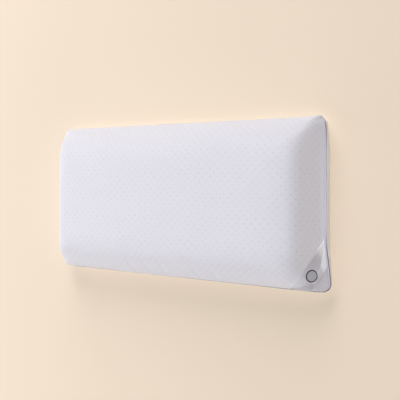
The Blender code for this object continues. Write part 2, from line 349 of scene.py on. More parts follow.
class Finish:
    def __init__(self, name):
        self.material = bpy.data.materials.new(name)
        self.material.use_nodes = True
        self.tree = self.material.node_tree
        self.shader = self.tree.nodes["Principled BSDF"]

    def node(self, kind, settings, inputs, output=0):
        made = self.tree.nodes.new(kind)
        for name, value in settings.items():
            if name == "stops":
                self.setStops(made.color_ramp, value)
            else:
                setattr(made, name, value)
        for name, value in inputs.items():
            self.plug(value, made.inputs[name])
        return Wire(self, made.outputs[output])

    def setStops(self, ramp, stops):
        while len(ramp.elements) < len(stops):
            ramp.elements.new(0.5)
        for element, (position, colour) in zip(ramp.elements, stops):
            element.position = position
            element.color = (*colour, 1.0)

    def plug(self, value, socket):
        if isinstance(value, Wire):
            self.tree.links.new(value.socket, socket)
        elif socket.type == "RGBA" and len(value) == 3:
            socket.default_value = (*value, 1.0)
        else:
            socket.default_value = value

    def give(self, **inputs):
        for name, value in inputs.items():
            self.plug(value, self.shader.inputs[name.replace("_", " ")])

    def mix(self, factor, first, second):
        settings = {"data_type": "RGBA"}
        return self.node("ShaderNodeMix", settings, {0: factor, 6: first, 7: second}, output=2)

    def place(self, scale=(1.0, 1.0, 1.0), turn=(0.0, 0.0, 0.0)):
        spot = self.node("ShaderNodeTexCoord", {}, {}, output=3)
        return self.node("ShaderNodeMapping", {}, {"Vector": spot, "Scale": scale, "Rotation": turn})

    def cloth(self, scale=(1.0, 1.0, 1.0), turn=(0.0, 0.0, 0.0)):
        spot = self.node("ShaderNodeUVMap", {"uv_map": "cloth"}, {})
        return self.node("ShaderNodeMapping", {}, {"Vector": spot, "Scale": scale, "Rotation": turn})

    def noise(self, where, scale, detail=2.0, roughness=0.5):
        inputs = {"Vector": where, "Scale": scale, "Detail": detail, "Roughness": roughness}
        return self.node("ShaderNodeTexNoise", {}, inputs)

    def waves(self, where, scale, direction="X", distortion=0.0):
        settings = {"wave_type": "BANDS", "bands_direction": direction, "wave_profile": "SIN"}
        return self.node("ShaderNodeTexWave", settings, {"Vector": where, "Scale": scale, "Distortion": distortion})

    def kept(self, name):
        return self.node("ShaderNodeAttribute", {"attribute_name": name}, {}, output=2)

    def bump(self, height, distance, strength=1.0):
        normal = self.node("ShaderNodeBump", {}, {"Height": height, "Distance": distance, "Strength": strength})
        self.plug(normal, self.shader.inputs["Normal"])


def wear(piece, finish):
    piece.data.materials.clear()
    piece.data.materials.append(finish.material)


# The cushion: a grid for the face, its rim drawn down into the seam, round the side and closed by the back

cushion = {
    "endLip": 1.6 * mm,
    "longLip": 0.4 * mm,
    "columnCell": 1.86 * mm,
    "rowCell": 1.80 * mm,
    "clothWander": 1.1 * mm,
    "swellPressure": 4.0,
    "swellVoxel": 5 * mm,
    "swellShrink": 0.9 * mm,
    "swellCap": 2.2 * mm,
    "swellKept": 0.55,
    "swellBlur": 7,
    "cornerEase": 0.07,
    "cornerBlur": 5,
    "seamFade": 22 * mm,
    "dotColumns": 8,
    "dotRows": 4,
    "dotDepth": 0.55 * mm,
    "dotSpread": 1.25 * mm,
    "dotSlant": 0.35,
    "plainEnd": 63 * mm,
    "plainLong": 94 * mm,
    "cornerEnd": 28 * mm,
    "cornerLong": 56 * mm,
}

columnCount = round(evenShares(form["halfLength"], cushion["endLip"], endRise, 10)[1] / cushion["columnCell"])
rowCount = round(evenShares(form["halfWidth"], cushion["longLip"], longRise, 10)[1] / cushion["rowCell"])
columnShares, clothLength = evenShares(form["halfLength"], cushion["endLip"], endRise, columnCount)
rowShares, clothWidth = evenShares(form["halfWidth"], cushion["longLip"], longRise, rowCount)


def cushionRings():
    # Insets and heights from the lip down: over the piping's groove, the side, the turned edge and the back
    side = form["bandThickness"] + 2 * form["gap"]
    seam = form["seamHeight"]
    rings = [
        (1.5 * mm, seam + 0.4 * mm),
        (1.9 * mm, seam - 0.4 * mm),
        (1.9 * mm, seam - 1.3 * mm),
        (side, seam - form["pipingRadius"] - 2 * form["gap"]),
        (side, (seam + form["edgeRadius"]) / 2),
    ]
    for step in range(5):
        angle = form["edgeTurn"] * step / 4
        radius = form["edgeRadius"] - side
        rings.append((form["edgeRadius"] - radius * math.cos(angle), form["edgeRadius"] - radius * math.sin(angle)))
    edge = rings[-1][0] + 2 * form["gap"]
    rings.append((edge, rings[-1][1]))
    rings.append((edge + form["gap"], 0.15 * mm))
    rings.append((edge + 4 * mm, 0.0))
    rings.append((edge + 30 * mm, 0.0))
    return rings


def makeCushion():
    deselectAll()
    bpy.ops.mesh.primitive_grid_add(x_subdivisions=columnCount, y_subdivisions=rowCount, size=2)
    piece = added("cushion_knit")
    rim = np.max(np.abs(placesOf(piece)[:, :2]), axis=1) > 1 - 1e-5
    selectVerts(piece, rim)
    rings = cushionRings()
    extrudeRings(len(rings))
    bpy.ops.mesh.edge_face_add()
    bpy.ops.object.mode_set(mode="OBJECT")
    return piece, rings


def wanderOf(u, v):
    # A slow wander of the knit on the foam, so its rows aren't drawn with a ruler
    across = wave(u, 0.61, 0.1) * wave(v, 1.13, 0.3) + 0.6 * wave(u + 0.7 * v, 0.37, 0.6)
    along = wave(v, 0.83, 0.2) * wave(u, 0.47, 0.8) + 0.6 * wave(u - 0.5 * v, 0.29, 0.4)
    fade = smooth((1 - np.abs(u)) * 9) * smooth((1 - np.abs(v)) * 5)
    return along * fade, across * fade


def blurred(values, columns, rows, mask, spread):
    # Evens out a value over the face's grid of points
    grid = np.zeros((columnCount + 1, rowCount + 1))
    grid[columns[mask], rows[mask]] = values[mask]
    reach = 3 * spread
    kernel = np.exp(-0.5 * (np.arange(-reach, reach + 1) / spread) ** 2)
    kernel /= kernel.sum()
    for axis in (0, 1):
        padding = [(reach, reach) if axis == side else (0, 0) for side in (0, 1)]
        padded = np.pad(grid, padding, mode="reflect", reflect_type="odd")
        grid = np.apply_along_axis(lambda line: np.convolve(line, kernel, mode="valid"), axis, padded)
    evened = np.zeros(len(values))
    evened[mask] = grid[columns[mask], rows[mask]]
    return evened


def baseShape(piece, rings):
    grid = placesOf(piece)
    columns = np.rint((grid[:, 0] + 1) / 2 * columnCount).astype(int)
    rows = np.rint((grid[:, 1] + 1) / 2 * rowCount).astype(int)
    ring = np.rint(-grid[:, 2]).astype(int)
    u = columnShares[columns]
    v = rowShares[rows]
    alongWander, acrossWander = wanderOf(u, v)
    wandering = cushion["clothWander"]
    places = facePoints(u + wandering / form["halfLength"] * alongWander, v + wandering / form["halfWidth"] * acrossWander)
    rim = ring > 0
    turn = turnOf(grid[rim, 0], grid[rim, 1])
    insets = np.array([0.0] + [row[0] for row in rings])[ring[rim]]
    heights = np.array([0.0] + [row[1] for row in rings])[ring[rim]]
    places[rim] = outlinePoints(turn, insets, heights)
    face = ring == 0
    ringShare = np.maximum(np.abs(u), np.abs(v))
    diagonal = np.exp(-(((np.abs(u) - np.abs(v)) / cushion["cornerEase"]) ** 2)) * smooth((ringShare - 0.6) / 0.15)
    inner = np.minimum(form["halfLength"] * (1 - np.abs(u)), form["halfWidth"] * (1 - np.abs(v)))
    weight = diagonal * smooth((inner - 1.5 * mm) / (9 * mm)) * face
    for axis in range(3):
        eased = blurred(places[:, axis], columns, rows, face, cushion["cornerBlur"])
        places[:, axis] += weight * (eased - places[:, axis])
    place(piece, places)
    return columns, rows, ring, u, v


def turnOf(gridX, gridY):
    # The turn round the outline of a place on the square's rim
    u = columnShares[np.rint((gridX + 1) / 2 * columnCount).astype(int)] / columnShares[-1]
    v = rowShares[np.rint((gridY + 1) / 2 * rowCount).astype(int)] / rowShares[-1]
    radius = cornerRadius(u, v)
    coreX = form["halfLength"] - radius
    coreY = form["halfWidth"] - radius
    arc = math.pi / 2 * radius
    x = np.abs(u) * form["halfLength"]
    y = np.abs(v) * form["halfWidth"]
    angle = np.arctan2(np.maximum(y - coreY, 0), np.maximum(x - coreX, 1e-9))
    within = np.where(x > coreX, np.minimum(y, coreY) + radius * angle, coreY + arc + coreX - x)
    share = within / quarterLength(radius)
    side = np.where(u >= 0, np.where(v >= 0, 0, 3), np.where(v >= 0, 1, 2))
    return (side + np.where(side % 2 == 0, share, 1 - share)) / 4


def swollen():
    # A copy of the solid, filled as a cushion is, so that the face bulges and settles as real filling does
    solid = frame["nodes"]["pillow_body"] if isinstance(frame["nodes"], dict) else bpy.data.objects["pillow_body"]
    solid = solid if isinstance(solid, bpy.types.Object) else bpy.data.objects["pillow_body"]
    copy = solid.copy()
    copy.data = solid.data.copy()
    copy.name = "swelling"
    bpy.context.scene.collection.objects.link(copy)
    copy.parent = None
    copy.hide_render = False
    takeUp(copy)
    bpy.ops.object.mode_set(mode="EDIT")
    bpy.ops.mesh.select_all(action="SELECT")
    bpy.ops.mesh.remove_doubles(threshold=1e-5)
    bpy.ops.mesh.normals_make_consistent(inside=False)
    bpy.ops.object.mode_set(mode="OBJECT")
    remesh = copy.modifiers.new("voxels", "REMESH")
    remesh.mode = "VOXEL"
    remesh.voxel_size = cushion["swellVoxel"]
    shrink = copy.modifiers.new("shrink", "DISPLACE")
    shrink.strength = -cushion["swellShrink"]
    shrink.mid_level = 0.0
    applyAll(copy)
    before = placesOf(copy)
    pinned = copy.vertex_groups.new(name="seam")
    held = np.flatnonzero(before[:, 2] < form["seamHeight"] + 2 * mm)
    pinned.add([int(index) for index in held], 1.0, "REPLACE")
    cloth = copy.modifiers.new("filling", "CLOTH")
    cloth.settings.use_pressure = True
    cloth.settings.uniform_pressure_force = cushion["swellPressure"]
    cloth.settings.effector_weights.gravity = 0.0
    cloth.settings.vertex_group_mass = "seam"
    cloth.settings.quality = 6
    cloth.settings.tension_stiffness = 25
    cloth.settings.compression_stiffness = 25
    cloth.settings.bending_stiffness = 1.5
    cloth.point_cache.frame_start = 1
    cloth.point_cache.frame_end = 20
    for step in range(1, 21):
        bpy.context.scene.frame_set(step)
    takeUp(copy)
    bpy.ops.object.modifier_apply(modifier="filling")
    bpy.context.scene.frame_set(1)
    moved = placesOf(copy) - before
    far = np.linalg.norm(moved, axis=1)
    report(f"filling moved {far.mean() / mm:.2f} mm on average, {far.max() / mm:.2f} mm at most")
    capped = before + moved * np.minimum(1.0, cushion["swellCap"] / np.maximum(far, 1e-9))[:, None]
    place(copy, capped)
    return copy


# Creases in the knit: where each starts along X at the lower seam, how far up it runs, its lean,
# and its depth below (or height above) the face
creases = (
    {"along": -92, "reach": 62, "lean": -6, "depth": -1.0, "width": 3.2, "start": 4},
    {"along": -88, "reach": 58, "lean": -5, "depth": 1.6, "width": 5.0, "start": 3},
    {"along": -48, "reach": 44, "lean": -5, "depth": 1.9, "width": 4.0, "start": 3},
    {"along": -43, "reach": 40, "lean": -7, "depth": -0.8, "width": 3.4, "start": 4},
    {"along": -13, "reach": 56, "lean": 7, "depth": 1.6, "width": 4.4, "start": 3},
    {"along": -7, "reach": 36, "lean": 7, "depth": -0.6, "width": 3.2, "start": 4},
    {"along": 30, "reach": 24, "lean": -3, "depth": 0.9, "width": 4.0, "start": 3},
    {"along": 63, "reach": 52, "lean": -6, "depth": 2.0, "width": 4.4, "start": 3},
    {"along": 69, "reach": 40, "lean": -7, "depth": -0.8, "width": 3.6, "start": 4},
    {"along": 84, "reach": 26, "lean": -5, "depth": 1.0, "width": 3.4, "start": 3},
    {"along": 102, "reach": 42, "lean": -5, "depth": 1.6, "width": 4.0, "start": 3},
    {"along": 128, "reach": 22, "lean": -4, "depth": 0.8, "width": 4.0, "start": 3},
    {"along": -136, "reach": 34, "lean": -4, "depth": 1.0, "width": 4.6, "start": 3},
    {"along": -170, "reach": 26, "lean": 5, "depth": 0.8, "width": 4.4, "start": 3},
    {"along": -214, "reach": 30, "lean": -5, "depth": 1.0, "width": 5.0, "start": 3},
)


def creaseDepth(x, inset):
    depth = np.zeros_like(x)
    for row in creases:
        up = inset / (row["reach"] * mm)
        middle = (row["along"] + row["lean"] * np.clip(up, 0, 1) ** 1.5) * mm
        fade = smooth(inset / (row["start"] * mm)) * smooth(1.0 - up)
        depth += row["depth"] * mm * fade * np.exp(-(((x - middle) / (row["width"] * mm)) ** 2))
    return depth


gathers = {
    "pitch": 7.5 * mm,
    "reach": 10 * mm,
    "depth": 0.16 * mm,
    "cornerPitch": 5.6 * mm,
    "cornerReach": 24 * mm,
    "cornerDepth": 0.55 * mm,
    "cornerLean": -1.5,
}


def gatherDepth(x, y):
    # Small gathers beside the seam all round, and finer slanting ones below the upper corners
    fromEnd = form["halfLength"] - np.abs(x)
    fromLong = form["halfWidth"] - np.abs(y)
    inset = np.minimum(fromEnd, fromLong)
    along = np.where(fromEnd < fromLong, y, x)
    uneven = 0.6 + 0.4 * wave(along, 47 * mm, 0.2) * wave(along, 29 * mm, 0.7)
    reach = gathers["reach"] * (0.7 + 0.3 * wave(along, 31 * mm, 0.1))
    ripple = wave(along + 1.5 * mm * wave(along, 37 * mm), gathers["pitch"])
    depth = gathers["depth"] * uneven * ripple * smooth(inset / (3 * mm)) * smooth(1 - inset / reach)
    slanted = y + gathers["cornerLean"] * fromEnd
    near = smooth((y - 78 * mm) / (30 * mm)) * smooth(1 - fromEnd / gathers["cornerReach"])
    near = near * smooth(fromEnd / (3 * mm)) * smooth((152 * mm - y) / (10 * mm))
    ripple = wave(slanted + 1.2 * mm * wave(slanted, 23 * mm), gathers["cornerPitch"])
    return depth + gathers["cornerDepth"] * near * ripple


def dotShape(columns, rows):
    # The staggered lattice of small dimples, one on every eighth column, shifted by half in every other row of dots
    pitchX = cushion["dotColumns"]
    pitchY = cushion["dotRows"]
    line = np.rint(rows / pitchY)
    dots = np.zeros(len(columns))
    for step in (-1, 0, 1):
        dotRow = line + step
        shift = np.mod(dotRow, 2) * pitchX / 2
        nearest = np.rint((columns - shift) / pitchX)
        dx = (columns - nearest * pitchX - shift) * cushion["columnCell"]
        dy = (rows - dotRow * pitchY) * cushion["rowCell"]
        own = np.mod(np.sin(dotRow * 12.9898 + nearest * 78.233) * 43758.5453, 1.0)
        strength = 0.62 + 0.38 * own
        strength = strength * (0.86 + 0.14 * wave(dotRow * pitchY * cushion["rowCell"], 42.5 * mm))
        slanted = dx + cushion["dotSlant"] * dy
        dots += strength * np.exp(-((slanted**2 + dy**2) / cushion["dotSpread"] ** 2))
    return np.minimum(dots, 1.0)


body, rings = makeCushion()
columns, rows, ring, shareX, shareY = baseShape(body, rings)
faceOutwards(body)
onFace = ring == 0
places = placesOf(body)
normals = normalsOf(body)
inset = np.minimum(form["halfLength"] * (1 - np.abs(shareX)), form["halfWidth"] * (1 - np.abs(shareY)))
swelling = swollen()
surface = surfaceOf(swelling)
offsets = np.zeros(len(places))
for index in np.flatnonzero(onFace):
    start = Vector(places[index] + normals[index] * 0.02)
    hit = surface.ray_cast(start, Vector(-normals[index]), 0.04)
    if hit[0] is not None:
        offsets[index] = 0.02 - hit[3]
fade = smooth(inset / cushion["seamFade"]) * cushion["swellKept"]
offsets = np.clip(offsets, -cushion["swellCap"], cushion["swellCap"])
offsets = blurred(offsets, columns, rows, onFace, cushion["swellBlur"])
offsets = (offsets - offsets[onFace].mean()) * onFace * fade
report(f"swell {offsets.min() / mm:.2f} to {offsets.max() / mm:.2f} mm")
places += normals * offsets[:, None]
place(body, places)
bpy.data.objects.remove(swelling)

sink = creaseDepth(places[:, 0], form["halfWidth"] + places[:, 1]) + gatherDepth(places[:, 0], places[:, 1])
normals = normalsOf(body)
place(body, placesOf(body) - normals * (sink * onFace)[:, None])
smoothCushion = surfaceOf(body)
# The knit has no dots below the ribbon and in the corner beyond it, and in that corner its colour is darkened as
# painted shade
fromEnd = form["halfLength"] * (1 - shareX)
fromLong = form["halfWidth"] * (1 + shareY)
underRibbon = smooth((1.0 - fromEnd / cushion["plainEnd"] - fromLong / cushion["plainLong"]) * 12)
paintedCornerShade = smooth((1.0 - fromEnd / cushion["cornerEnd"] - fromLong / cushion["cornerLong"]) * 6)
dots = dotShape(columns, rows) * onFace * smooth((inset - 2 * mm) / (5 * mm)) * (1 - underRibbon)
normals = normalsOf(body)
place(body, placesOf(body) - normals * (cushion["dotDepth"] * dots)[:, None])
keep(body, "dots", dots)
keep(body, "plain", paintedCornerShade * onFace)
report(f"cushion {columnCount} by {rowCount} cells, {len(body.data.polygons)} faces")

knit = Finish("dotted_knit")
mask = knit.kept("dots")
where = knit.place()
mottle = knit.noise(where, 160.0, 3.0, 0.6)
cloud = knit.noise(where, 14.0, 2.0, 0.5)
ground = knit.mix(mottle * 0.5 + cloud * 0.3, (0.775, 0.765, 0.835), (0.845, 0.835, 0.90))
# Painted shade: the knit's colour is darkened in the corner beyond the ribbon
ground = knit.mix(knit.kept("plain") * 0.8, ground, (0.66, 0.63, 0.68))
# Painted shade: the knit is darkened in colour in its dimpled dots
knit.give(Base_Color=knit.mix(mask ** 1.3 * 0.75, ground, (0.50, 0.47, 0.55)))
knit.give(Roughness=0.92, Sheen_Weight=0.25, Sheen_Roughness=0.5, Specular_IOR_Level=0.2)
loops = knit.waves(where, 260.0, "X", 1.5) + knit.waves(where, 300.0, "Y", 1.5)
knit.bump(loops * 0.5 + knit.noise(where, 420.0, 2.0) * 0.8 + mottle * 1.2, 0.35 * mm)
wear(body, knit)
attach(body, "root")
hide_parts("pillow_body")

# The side band: a strip from under the piping, down the side and in under the back

band = {
    "steps": 900,
    "wallRows": 14,
    "edgeRows": 6,
    "slack": 0.30 * mm,
    "foldHeight": 10.5 * mm,
    "foldDepth": 0.12 * mm,
    "foldWidth": 1.1 * mm,
}


def makeBand():
    top = form["seamHeight"] - form["pipingRadius"] - form["gap"]
    bandRows = [(0.0, top + (form["edgeRadius"] - top) * step / band["wallRows"]) for step in range(band["wallRows"])]
    for step in range(band["edgeRows"] + 1):
        angle = form["edgeTurn"] * step / band["edgeRows"]
        bandRows.append((form["edgeRadius"] * (1 - math.cos(angle)), form["edgeRadius"] * (1 - math.sin(angle))))
    deselectAll()
    bpy.ops.mesh.primitive_circle_add(vertices=band["steps"], radius=1)
    piece = added("side_band_cloth")
    selectVerts(piece, np.ones(len(piece.data.vertices), dtype=bool))
    extrudeRings(len(bandRows) - 1)
    bpy.ops.object.mode_set(mode="OBJECT")
    grid = placesOf(piece)
    turn = np.mod(np.arctan2(grid[:, 1], grid[:, 0]) / (2 * math.pi), 1.0)
    level = np.rint(-grid[:, 2]).astype(int)
    insets = np.array([row[0] for row in bandRows])[level]
    heights = np.array([row[1] for row in bandRows])[level]
    around = turn * 1.766
    loose = smooth((top - heights) / (6 * mm)) * smooth(heights / (5 * mm))
    slack = band["slack"] * loose * (wave(around, 0.071, 0.2) + 0.7 * wave(around, 0.043, 0.6) * wave(heights, 0.03))
    fold = band["foldDepth"] * np.exp(-(((heights - band["foldHeight"]) / band["foldWidth"]) ** 2))
    place(piece, outlinePoints(turn, insets + fold - slack * 0.7 + 0.15 * mm, heights))
    wall = piece.modifiers.new("cloth", "SOLIDIFY")
    wall.thickness = 1.0 * mm
    faceOutwards(piece)
    wall.offset = -1.0
    applyAll(piece)
    return piece


bandPiece = makeBand()
bandFinish = Finish("band_cloth")
where = bandFinish.place()
weave = bandFinish.waves(where, 420.0, "Z", 0.4) + bandFinish.waves(where, 420.0, "DIAGONAL", 0.4)
tone = bandFinish.noise(where, 60.0, 3.0)
bandFinish.give(Base_Color=bandFinish.mix(tone, (0.84, 0.84, 0.89), (0.92, 0.92, 0.96)))
bandFinish.give(Roughness=0.8, Sheen_Weight=0.2, Specular_IOR_Level=0.25)
bandFinish.bump(weave * 0.5 + tone * 0.6, 0.25 * mm)
wear(bandPiece, bandFinish)
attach(bandPiece, "root")
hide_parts("side_band")

# The piping: a round satin cord in the seam, with the slanting gathers of its cover

piping = {
    "steps": 2600,
    "sides": 12,
    "radius": 0.95 * mm,
    "gatherPitch": 3.4 * mm,
    "gatherHeight": 0.08 * mm,
    "length": 1.766,
}


def pipingPaintedShade(x, y):
    # Painted shade: the satin's colour is darker along the lower side's two ends, up to the ribbon's top and at the
    # firm corner
    lower = smooth((-y - 140 * mm) / (6 * mm)) * (smooth((x - 90 * mm) / (130 * mm)) + 0.5 * smooth((-x - 200 * mm) / (50 * mm)))
    right = smooth((x - 290 * mm) / (6 * mm)) * (0.85 * smooth((-y - 45 * mm) / (40 * mm)) + 0.5 * smooth((y - 90 * mm) / (30 * mm)))
    return np.clip(np.maximum(lower, right), 0, 1)


def makePiping():
    deselectAll()
    bpy.ops.mesh.primitive_torus_add(
        major_segments=piping["steps"], minor_segments=piping["sides"], major_radius=1, minor_radius=0.1
    )
    piece = added("seam_piping_cord")
    ringPlaces = placesOf(piece)
    turn = np.mod(np.arctan2(ringPlaces[:, 1], ringPlaces[:, 0]) / (2 * math.pi), 1.0)
    tilt = np.arctan2(ringPlaces[:, 2], np.hypot(ringPlaces[:, 0], ringPlaces[:, 1]) - 1)
    centre = outlinePoints(turn, 0.0, form["seamHeight"])
    step = 1.0 / piping["steps"]
    ahead = outlinePoints(turn + step, 0.0, form["seamHeight"]) - outlinePoints(turn - step, 0.0, form["seamHeight"])
    ahead /= np.linalg.norm(ahead, axis=1)[:, None]
    outward = np.cross(ahead, np.array([0.0, 0.0, 1.0]))
    outward /= np.linalg.norm(outward, axis=1)[:, None]
    upward = np.cross(outward, ahead)
    twist = np.sin(2 * math.pi * np.rint(piping["length"] / piping["gatherPitch"]) * turn + 1.3 * tilt)
    radius = piping["radius"] + piping["gatherHeight"] * twist
    offset = outward * (np.cos(tilt) * radius)[:, None] + upward * (np.sin(tilt) * radius)[:, None]
    place(piece, centre + offset)
    # Painted highlight and shade: the satin's colour is lighter on the gathers' crests and darker in their hollows
    keep(piece, "twist", twist * 0.5 + 0.5)
    keep(piece, "dark", pipingPaintedShade(centre[:, 0], centre[:, 1]))
    faceOutwards(piece)
    return piece


pipingPiece = makePiping()
pipingFinish = Finish("piping_satin")
tone = pipingFinish.noise(pipingFinish.place(), 90.0, 2.0)
# Lit and shaded copies of the satin, mixed by the painted shade
light = pipingFinish.mix(pipingFinish.kept("twist"), (0.40, 0.365, 0.43), (0.62, 0.58, 0.66))
dark = pipingFinish.mix(pipingFinish.kept("twist"), (0.07, 0.055, 0.085), (0.19, 0.165, 0.21))
shade = pipingFinish.kept("dark") * 0.9 + tone * 0.12
pipingFinish.give(Base_Color=pipingFinish.mix(shade, light, dark))
pipingFinish.give(Roughness=0.45, Sheen_Weight=0.2, Specular_IOR_Level=0.4)
pipingFinish.bump(pipingFinish.noise(pipingFinish.place(), 900.0, 2.0), 0.1 * mm)
wear(pipingPiece, pipingFinish)
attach(pipingPiece, "root")
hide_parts("seam_piping")

# The ribbon across the lower right corner, sewn into the seam at both ends

ribbon = {
    # Its two edges in even steps along it: insets from the right end and from the lower long seam, in mm
    "outerEnd": (0.2, 14.3, 27.8, 42.6, 62.5),
    "outerLong": (93.5, 69.2, 44.5, 20.5, 0.6),
    "innerEnd": (0.2, 6.0, 10.9, 16.9, 26.0),
    "innerLong": (48.0, 35.6, 22.9, 10.7, 0.6),
    "fromSeam": 2.9 * mm,
    "steps": 170,
    "lanes": 64,
    "lift": 0.75 * mm,
    "thickness": 0.7 * mm,
    "foldStep": 0.9 * mm,
}

# The ribbon's main fold runs down from the seam: how far across it lies at each share along
foldLine = {"along": (0.0, 0.161, 0.238, 0.334, 0.434, 0.60, 0.80), "across": (0.30, 0.459, 0.588, 0.708, 0.719, 0.82, 1.00)}

# Folds over the ribbon: where each lies across it at its two ends, its height and its width as a share across
ribbonFolds = (
    {"across": (0.40, 0.66), "along": (-0.02, 0.10), "height": -0.5, "width": 0.04},
    {"across": (0.78, 0.34), "along": (0.66, 0.94), "height": 0.5, "width": 0.06},
    {"across": (0.05, 0.20), "along": (0.86, 1.05), "height": -0.5, "width": 0.10},
    {"across": (0.85, 0.98), "along": (0.30, 0.62), "height": 0.4, "width": 0.08},
)

# Painted highlight and shade on the satin, left and right of its main fold, along it
paintedSatinLight = {
    "leftAlong": (0.0, 0.10, 0.18, 0.24, 0.29, 0.34, 0.46, 0.52, 0.60, 0.68, 0.82, 0.92, 1.0),
    "left": (0.96, 0.93, 0.78, 0.58, 0.38, 0.31, 0.29, 0.36, 0.52, 0.62, 0.62, 0.50, 0.30),
    "rightAlong": (0.0, 0.20, 0.27, 0.33, 0.42, 0.52, 0.62, 0.75, 0.88, 1.0),
    "right": (0.93, 0.92, 0.86, 0.50, 0.42, 0.33, 0.38, 0.50, 0.56, 0.50),
}


def through(values, share):
    # A smooth curve through values that are evenly spaced
    step = share * (len(values) - 1)
    total = 0.0
    for own, value in enumerate(values):
        weight = value * mm
        for other in range(len(values)):
            if other != own:
                weight = weight * (step - other) / (own - other)
        total = total + weight
    return total


def ribbonShares(along, across):
    fromEnd = through(ribbon["outerEnd"], along) * (1 - across) + through(ribbon["innerEnd"], along) * across
    fromLong = through(ribbon["outerLong"], along) * (1 - across) + through(ribbon["innerLong"], along) * across
    return 1 - np.maximum(fromEnd, ribbon["fromSeam"]) / form["halfLength"], fromLong / form["halfWidth"] - 1


def faceNormals(u, v):
    step = 0.002
    alongU = facePoints(u + step, v) - facePoints(u - step, v)
    alongV = facePoints(u, v + step) - facePoints(u, v - step)
    normals = np.cross(alongU, alongV)
    return normals / np.linalg.norm(normals, axis=1)[:, None]


def laidOn(surface, points, normals, lift):
    laid = []
    for point, normal, height in zip(points, normals, lift):
        hit = surface.ray_cast(Vector(point + normal * 0.02), Vector(-normal))[0]
        laid.append(np.array(hit if hit is not None else point) + normal * height)
    return np.array(laid)


def foldHeight(along, across):
    height = np.zeros_like(along)
    for row in ribbonFolds:
        share = (along - row["along"][0]) / (row["along"][1] - row["along"][0])
        middle = row["across"][0] + (row["across"][1] - row["across"][0]) * share
        standing = np.sin(math.pi * np.clip(share, 0, 1))
        height += row["height"] * mm * standing * np.exp(-(((across - middle) / row["width"]) ** 2))
    return height


def beyondFold(along, across, width):
    line = np.interp(along, foldLine["along"], foldLine["across"])
    return smooth((across - line) / width + 0.5)


def satinPaintedLightAndSelvage(along, across):
    slanted = along + 0.24 * (across - 0.06)
    left = np.interp(slanted, paintedSatinLight["leftAlong"], paintedSatinLight["left"])
    right = np.interp(along - 0.06 * (across - 0.8), paintedSatinLight["rightAlong"], paintedSatinLight["right"])
    beyond = beyondFold(along, across, 0.06)
    tone = left * (1 - beyond) + right * beyond
    # Painted shadow at the end pinched into the seam, painted shade in the notch and beyond the low fold; the selvage
    # is the ribbon's own darker edge
    pinch = np.exp(-(((along - 1.0) / 0.06) ** 2) - ((across - 0.06) / 0.25) ** 2)
    notch = np.exp(-(((across - 0.43 - 3.0 * (along - 0.018)) / 0.05) ** 2)) * smooth(along / 0.02) * smooth((0.09 - along) / 0.03)
    lowFold = across - (0.70 - 1.6 * (along - 0.70))
    low = smooth(lowFold / 0.05 + 0.5) * smooth((along - 0.62) / 0.1) * smooth((1.02 - along) / 0.1)
    selvage = smooth(1 - across / 0.045)
    return tone - 0.35 * pinch - 0.22 * notch - 0.08 * low - 0.12 * selvage


def makeRibbon(surface):
    deselectAll()
    bpy.ops.mesh.primitive_grid_add(x_subdivisions=ribbon["steps"], y_subdivisions=ribbon["lanes"], size=2)
    piece = added("corner_ribbon_satin")
    grid = placesOf(piece)
    along = (grid[:, 0] + 1) / 2
    across = (grid[:, 1] + 1) / 2
    u, v = ribbonShares(along, across)
    nearEdge = np.minimum(across, 1 - across)
    line = np.interp(along, foldLine["along"], foldLine["across"])
    step = beyondFold(along, across, 0.05) * np.exp(-np.maximum(across - line, 0) / 0.22)
    step = step * smooth(along / 0.06) * smooth((0.66 - along) / 0.2)
    lift = ribbon["lift"] + ribbon["foldStep"] * step + np.maximum(foldHeight(along, across), -0.4 * mm)
    lift -= 0.35 * mm * smooth(1 - nearEdge / 0.05)
    place(piece, laidOn(surface, facePoints(u, v), faceNormals(u, v), lift))
    faceOutwards(piece)
    # The ribbon's colour carries painted highlight and shade over its folds
    keep(piece, "tone", satinPaintedLightAndSelvage(along, across))
    sheet = piece.modifiers.new("satin", "SOLIDIFY")
    sheet.thickness = ribbon["thickness"]
    sheet.offset = -1.0
    applyAll(piece)
    return piece


ribbonPiece = makeRibbon(smoothCushion)
satin = Finish("ribbon_satin")
threads = satin.waves(satin.place(), 900.0, "DIAGONAL", 0.2)
cloud = satin.noise(satin.place(), 70.0, 2.0)
tone = satin.kept("tone") + cloud * 0.08
satin.give(Base_Color=satin.mix(tone, (0.40, 0.385, 0.43), (0.90, 0.885, 0.94)))
satin.give(Roughness=0.42, Sheen_Weight=0.1, Specular_IOR_Level=0.4, Anisotropic=0.3)
satin.bump(threads * 0.4 + cloud * 0.3, 0.05 * mm)
wear(ribbonPiece, satin)
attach(ribbonPiece, "root")
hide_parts("corner_ribbon")

# The badge: a small disc with an overcast rim, sewn on the ribbon and left bare inside

badge = {
    "fromEnd": 22.5 * mm,
    "fromLong": 28.5 * mm,
    "radius": 10.9 * mm,
    "rimWidth": 2.1 * mm,
    "thickness": 1.2 * mm,
    "rimHeight": 0.45 * mm,
    "sides": 180,
    "stitches": 60,
    "stitchHeight": 0.10 * mm,
    "lift": 0.5 * mm,
}


